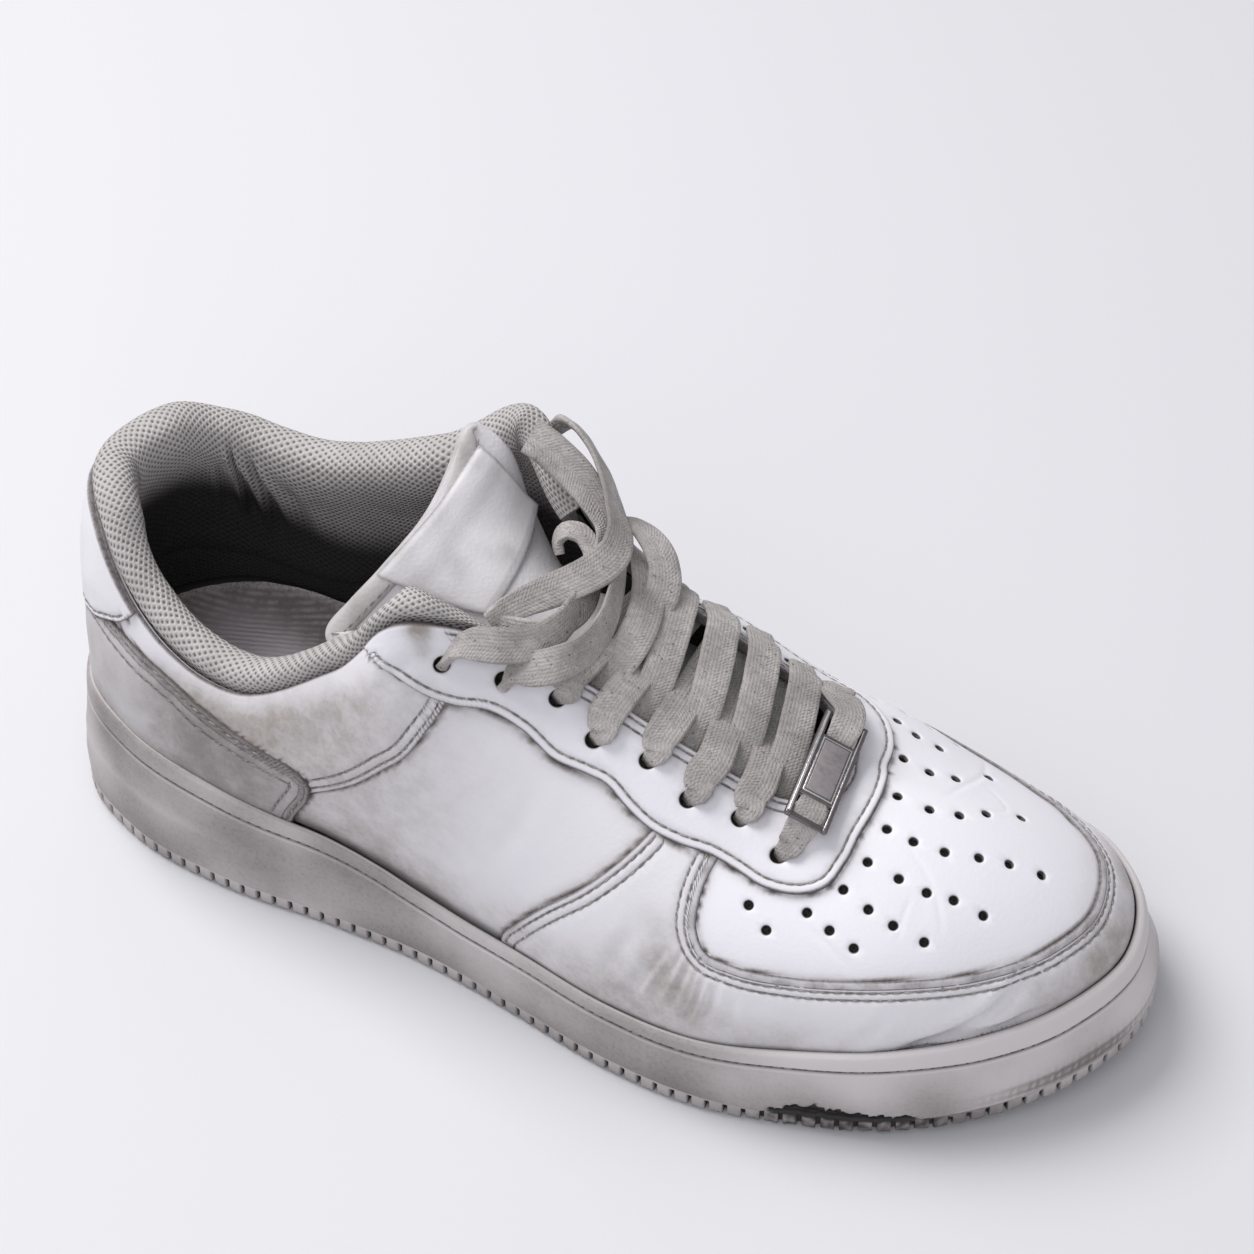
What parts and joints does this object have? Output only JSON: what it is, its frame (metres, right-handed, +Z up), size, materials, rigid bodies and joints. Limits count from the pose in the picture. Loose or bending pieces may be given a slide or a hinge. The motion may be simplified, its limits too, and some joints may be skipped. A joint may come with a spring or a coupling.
{
  "type": "worn low-top sneaker",
  "caption": "Worn white leather low-top court sneaker for the right foot, standing empty on its sole, with dirty flat laces loosely knotted over a twisted tongue.",
  "frame": {"origin": "under the middle of the shoe's bounding box, on the floor", "axes": "+X from heel to toe along the shoe's length, +Y to the inner side of the right foot, +Z up"},
  "size_m": [0.3027, 0.1145, 0.1317],
  "materials": {
    "outsole_rubber": "matte, worn",
    "cup_rubber": "matte, dirty",
    "dark_footbed": "worn woven top",
    "white_leather": "scuffed coated grain",
    "grey_mesh": "knitted spacer mesh",
    "tongue_leather": "soft, wrinkled",
    "grey_lace": "flat woven lace, dirty",
    "dark_steel": "worn dark plating"
  },
  "bodies": {
    "root": {"outsole": "outsole_rubber", "midsole": "cup_rubber", "insole": "dark_footbed", "upper": "white_leather", "collar_pad": "grey_mesh", "tongue": "tongue_leather", "lace_crossings": "grey_lace", "lace_bar": "grey_lace", "lace_keeper": "dark_steel", "lace_knot": "grey_lace", "lace_outer_top": "grey_lace", "lace_outer_second": "grey_lace", "lace_inner_top": "grey_lace", "lace_end_collar": "grey_lace", "lace_end_tongue": "grey_lace"}
  },
  "joints": []
}
